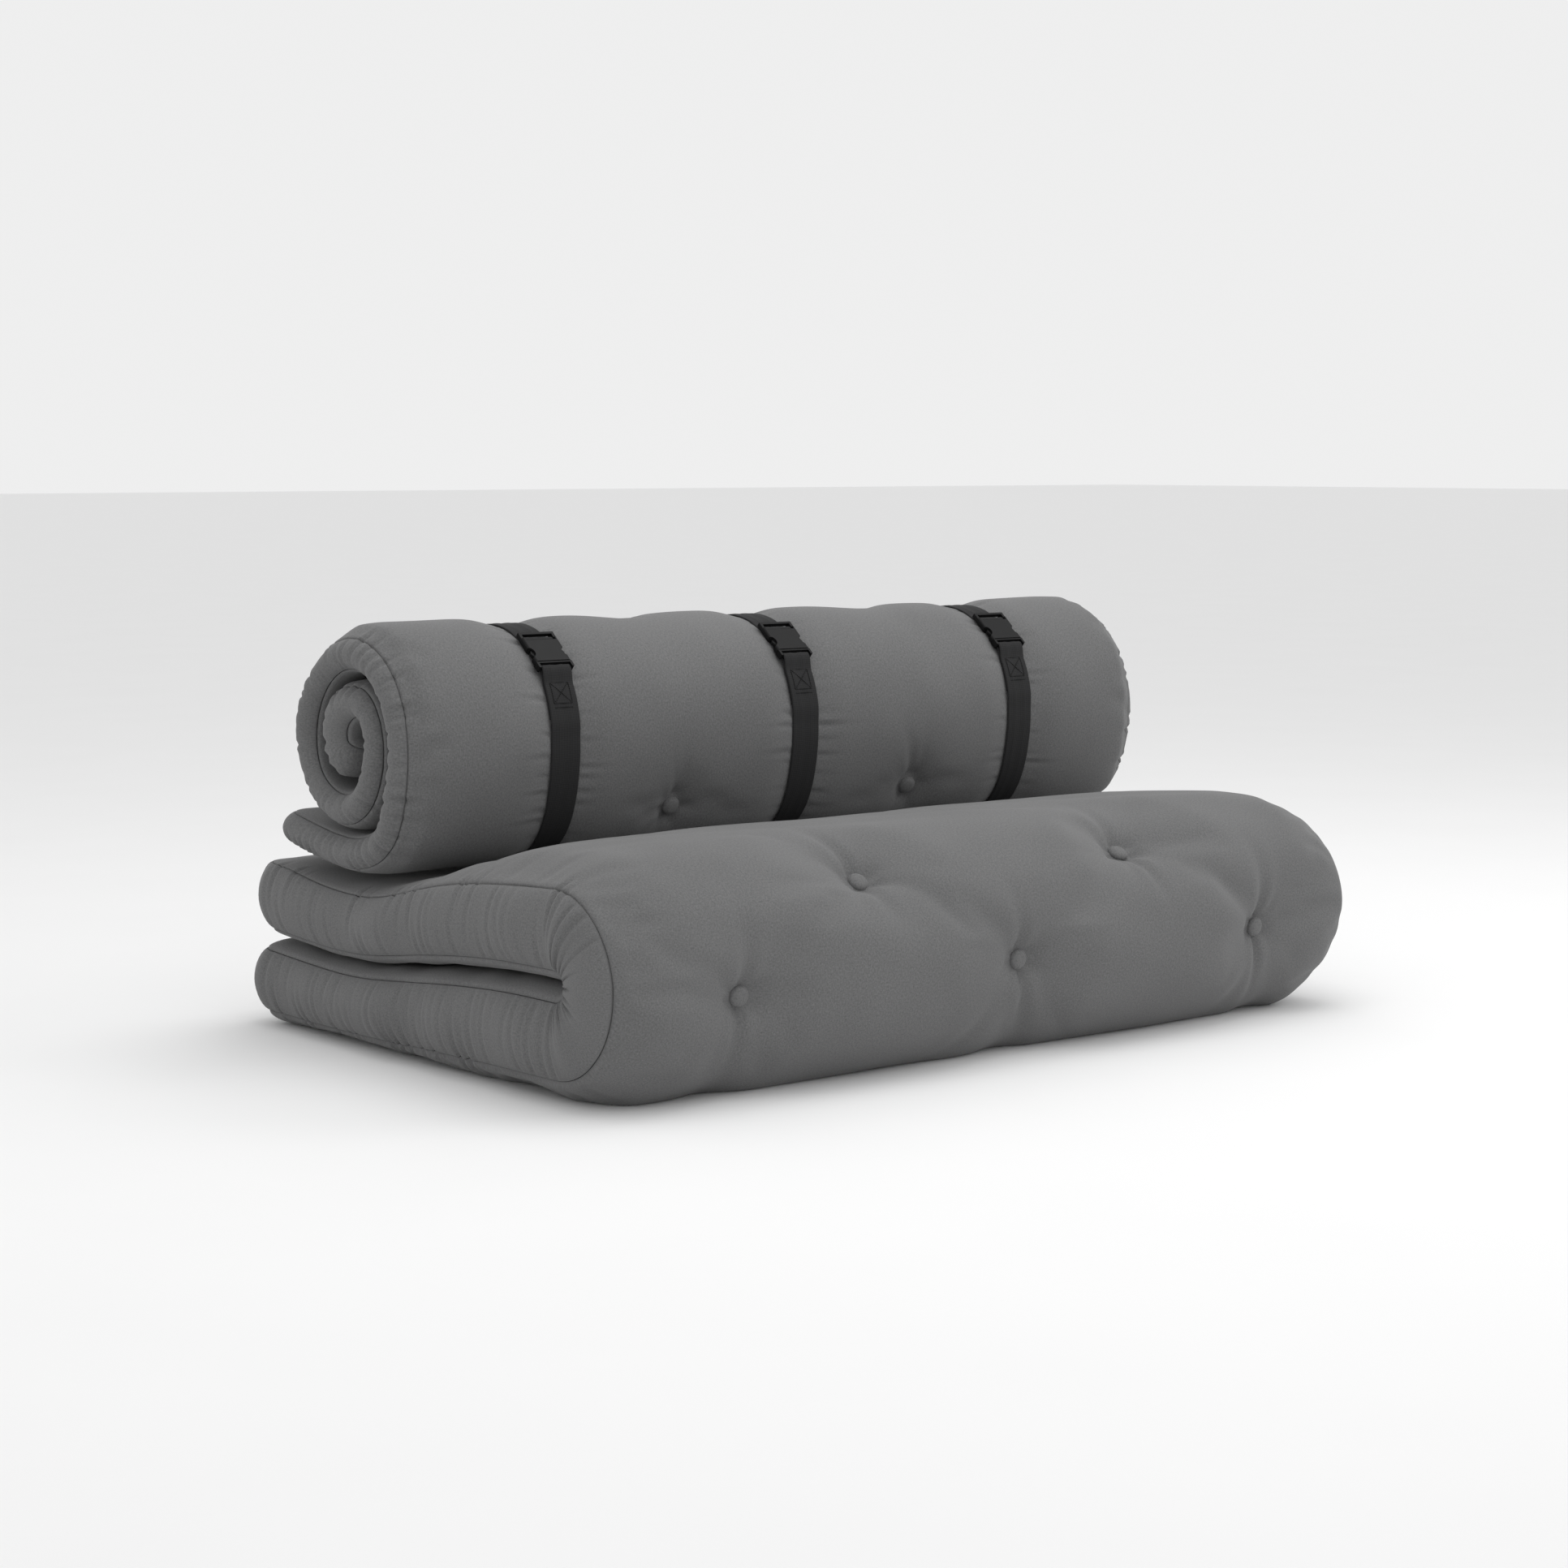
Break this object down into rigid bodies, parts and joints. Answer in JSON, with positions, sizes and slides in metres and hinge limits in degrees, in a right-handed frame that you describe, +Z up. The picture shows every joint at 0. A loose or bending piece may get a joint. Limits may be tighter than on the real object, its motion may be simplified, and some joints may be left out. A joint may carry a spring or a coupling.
{
  "type": "futon sofa bed",
  "caption": "Frameless futon sofa bed: a thick tufted seat futon folded in half, with a rolled back futon on top held by webbing straps with side-release buckles.",
  "frame": {"origin": "on the floor under the middle of the whole object at rest, folded as a sofa", "axes": "+X along the width, -Y the front (the folded edge), +Z up"},
  "size_m": [1.4, 0.936, 0.5943],
  "materials": {
    "upholstery": "plain woven, matt",
    "wadding": "soft fibre",
    "foam": "open-cell foam",
    "twine": "waxed twist",
    "webbing": "ribbed webbing",
    "strap_thread": "sewing thread",
    "buckle_plastic": "fine satin moulding"
  },
  "bodies": {
    "seat_lower": {"seat_lower_bottom_buttons": "upholstery", "seat_lower_core": "foam", "seat_lower_cover": "upholstery", "seat_lower_inner_buttons": "upholstery", "seat_lower_left_end_band": "upholstery", "seat_lower_right_end_band": "upholstery", "seat_lower_tufting_twines": "twine", "seat_lower_wadding": "wadding"},
    "seat_fold": {"seat_fold_core": "foam", "seat_fold_cover": "upholstery", "seat_fold_front_buttons": "upholstery", "seat_fold_left_end_band": "upholstery", "seat_fold_right_end_band": "upholstery", "seat_fold_tufting_twines": "twine", "seat_fold_wadding": "wadding"},
    "seat_upper": {"seat_upper_core": "foam", "seat_upper_cover": "upholstery", "seat_upper_inner_buttons": "upholstery", "seat_upper_left_end_band": "upholstery", "seat_upper_right_end_band": "upholstery", "seat_upper_top_buttons": "upholstery", "seat_upper_tufting_twines": "twine", "seat_upper_wadding": "wadding"},
    "back_roll": {"back_roll_core": "foam", "back_roll_cover": "upholstery", "back_roll_inner_buttons": "upholstery", "back_roll_left_end_band": "upholstery", "back_roll_outer_buttons": "upholstery", "back_roll_right_end_band": "upholstery", "back_roll_tufting_twines": "twine", "back_roll_wadding": "wadding", "left_buckle_plug": "buckle_plastic", "left_buckle_socket": "buckle_plastic", "left_strap_stitching": "strap_thread", "left_strap_webbing": "webbing", "middle_buckle_plug": "buckle_plastic", "middle_buckle_socket": "buckle_plastic", "middle_strap_stitching": "strap_thread", "middle_strap_webbing": "webbing", "right_buckle_plug": "buckle_plastic", "right_buckle_socket": "buckle_plastic", "right_strap_stitching": "strap_thread", "right_strap_webbing": "webbing"},
    "left_buckle_left_prong": {"left_buckle_left_prong": "buckle_plastic"},
    "left_buckle_right_prong": {"left_buckle_right_prong": "buckle_plastic"},
    "middle_buckle_left_prong": {"middle_buckle_left_prong": "buckle_plastic"},
    "middle_buckle_right_prong": {"middle_buckle_right_prong": "buckle_plastic"},
    "right_buckle_left_prong": {"right_buckle_left_prong": "buckle_plastic"},
    "right_buckle_right_prong": {"right_buckle_right_prong": "buckle_plastic"}
  },
  "joints": [
    {"name": "seat_unfold", "type": "hinge", "parent": "seat_lower", "child": "seat_fold", "pos_m": [0, -0.372, 0.096], "axis": [1, 0, 0], "range_deg": [0, 90], "deforming": ["seat_fold_core", "seat_fold_cover", "seat_fold_front_buttons", "seat_fold_left_end_band", "seat_fold_right_end_band", "seat_fold_tufting_twines", "seat_fold_wadding"]},
    {"name": "upper_half_unfold", "type": "hinge", "parent": "seat_fold", "child": "seat_upper", "pos_m": [0, -0.372, 0.214], "axis": [1, 0, 0], "range_deg": [0, 90]},
    {"name": "roll_carry", "type": "hinge", "parent": "seat_upper", "child": "back_roll", "pos_m": [0, 0.464, 0.208], "axis": [1, 0, 0], "range_deg": [-280, 0]},
    {"name": "left_buckle_left_squeeze", "type": "hinge", "parent": "back_roll", "child": "left_buckle_left_prong", "pos_m": [-0.454, 0.06512, 0.53869], "axis": [0, 0.6561, -0.7547], "range_deg": [0, 7], "stiffness_Nm_per_rad": 0.3},
    {"name": "left_buckle_right_squeeze", "type": "hinge", "parent": "back_roll", "child": "left_buckle_right_prong", "pos_m": [-0.42, 0.06512, 0.53869], "axis": [0, -0.6561, 0.7547], "range_deg": [0, 7], "stiffness_Nm_per_rad": 0.3},
    {"name": "middle_buckle_left_squeeze", "type": "hinge", "parent": "back_roll", "child": "middle_buckle_left_prong", "pos_m": [-0.017, 0.06512, 0.53869], "axis": [0, 0.6561, -0.7547], "range_deg": [0, 7], "stiffness_Nm_per_rad": 0.3},
    {"name": "middle_buckle_right_squeeze", "type": "hinge", "parent": "back_roll", "child": "middle_buckle_right_prong", "pos_m": [0.017, 0.06512, 0.53869], "axis": [0, -0.6561, 0.7547], "range_deg": [0, 7], "stiffness_Nm_per_rad": 0.3},
    {"name": "right_buckle_left_squeeze", "type": "hinge", "parent": "back_roll", "child": "right_buckle_left_prong", "pos_m": [0.42, 0.06512, 0.53869], "axis": [0, 0.6561, -0.7547], "range_deg": [0, 7], "stiffness_Nm_per_rad": 0.3},
    {"name": "right_buckle_right_squeeze", "type": "hinge", "parent": "back_roll", "child": "right_buckle_right_prong", "pos_m": [0.454, 0.06512, 0.53869], "axis": [0, -0.6561, 0.7547], "range_deg": [0, 7], "stiffness_Nm_per_rad": 0.3}
  ],
  "couplings": [
    {"joint": "upper_half_unfold", "follows": "seat_unfold", "ratio": 1},
    {"joint": "roll_carry", "follows": "seat_unfold", "ratio": -3.1111}
  ]
}
